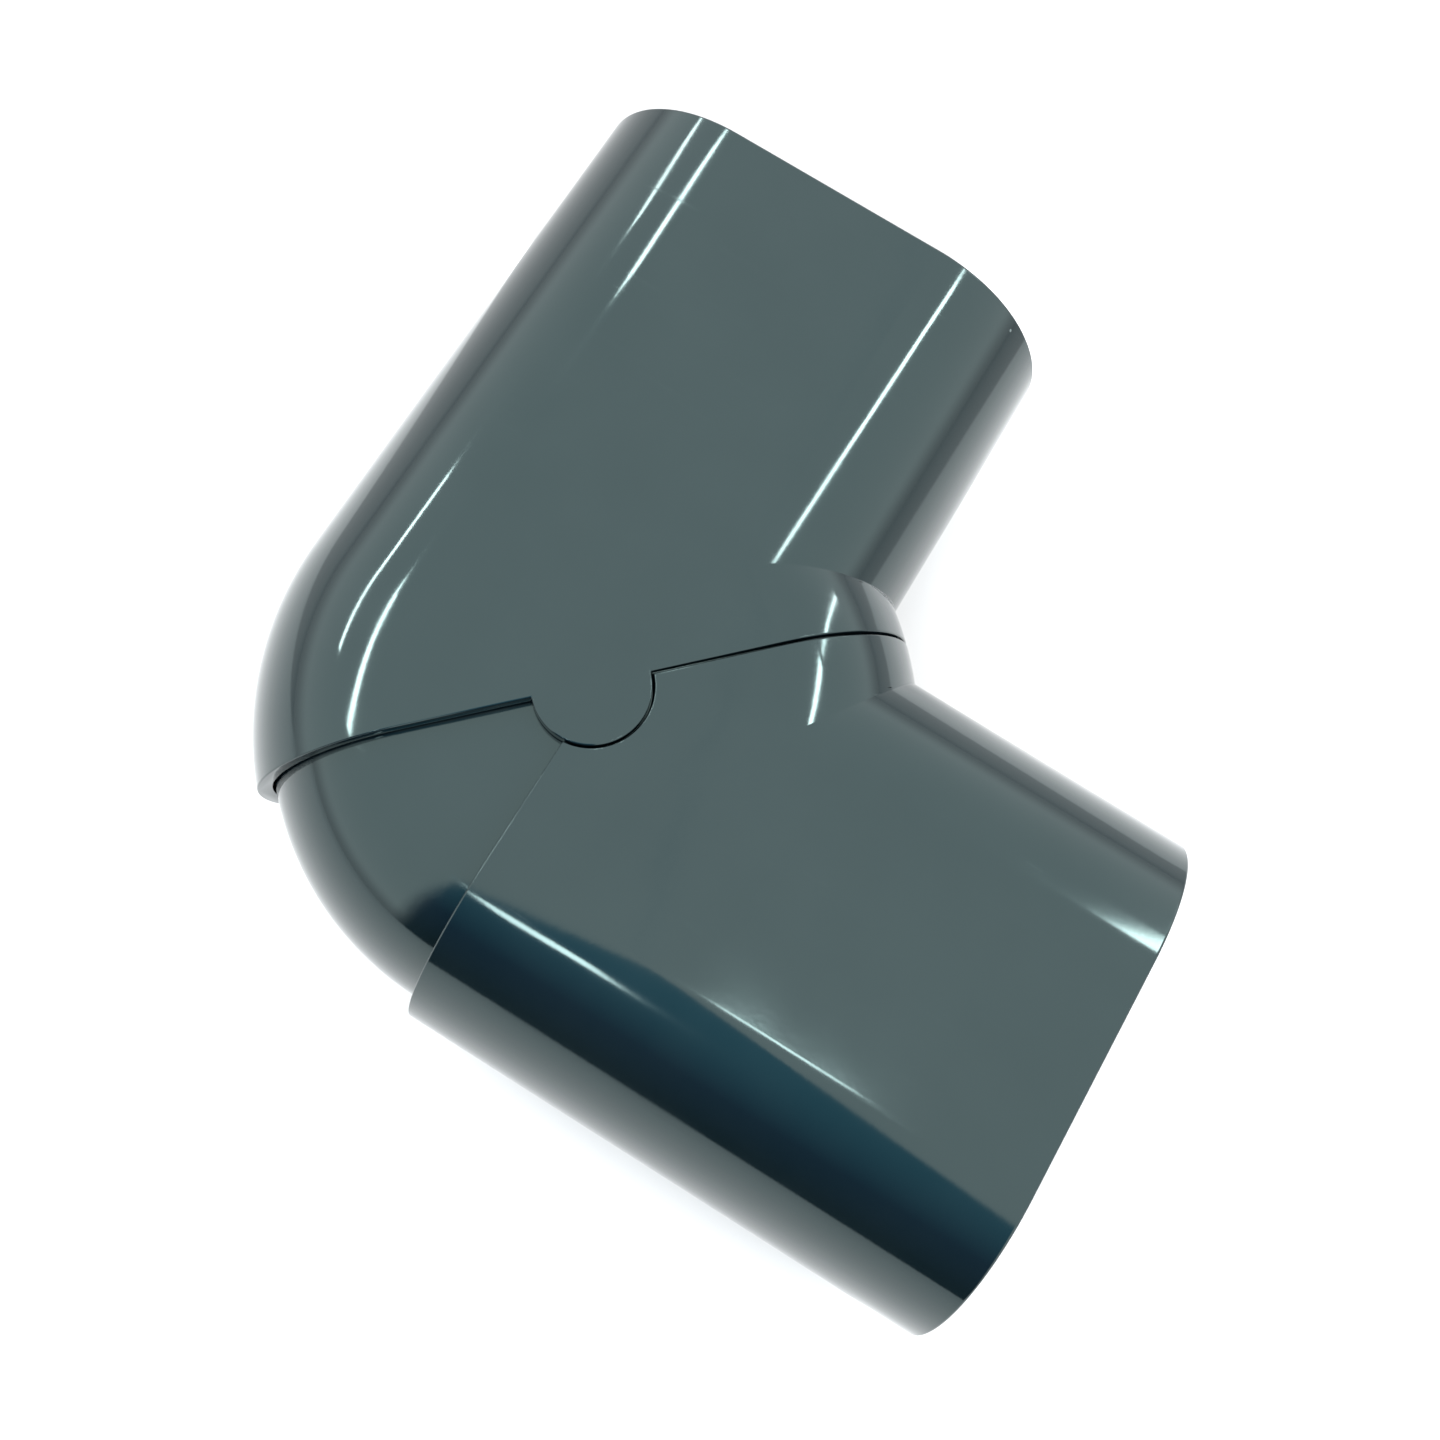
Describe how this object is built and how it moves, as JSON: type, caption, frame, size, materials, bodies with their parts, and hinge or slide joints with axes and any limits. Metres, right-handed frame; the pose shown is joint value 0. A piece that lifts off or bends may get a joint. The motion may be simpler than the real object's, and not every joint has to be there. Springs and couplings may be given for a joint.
{
  "type": "pipe elbow fitting",
  "caption": "Swivelling oval pipe elbow: a cowled half turns on a pivot over the drum of the other, so the bend adjusts from a right angle to about half of one.",
  "frame": {"origin": "where the pivot axis meets the flat face that the fitting lies on", "axes": "+Z along the pivot axis, up from the face it lies on; +X out of the inner half's socket; +Y out of the outer half's socket"},
  "size_m": [0.162, 0.162, 0.062],
  "materials": {
    "pvc_outer": "glossy injection-moulded PVC, dark green-grey",
    "pvc_inner": "glossy injection-moulded PVC, dark green-grey"
  },
  "bodies": {
    "inner_body": {"inner_half": "pvc_inner"},
    "outer_body": {"outer_half": "pvc_outer"}
  },
  "joints": [
    {"name": "bend_pivot", "type": "hinge", "parent": "inner_body", "child": "outer_body", "pos_m": [0, 0, 0.031], "axis": [0, 0, 1], "range_deg": [0, 45]}
  ]
}
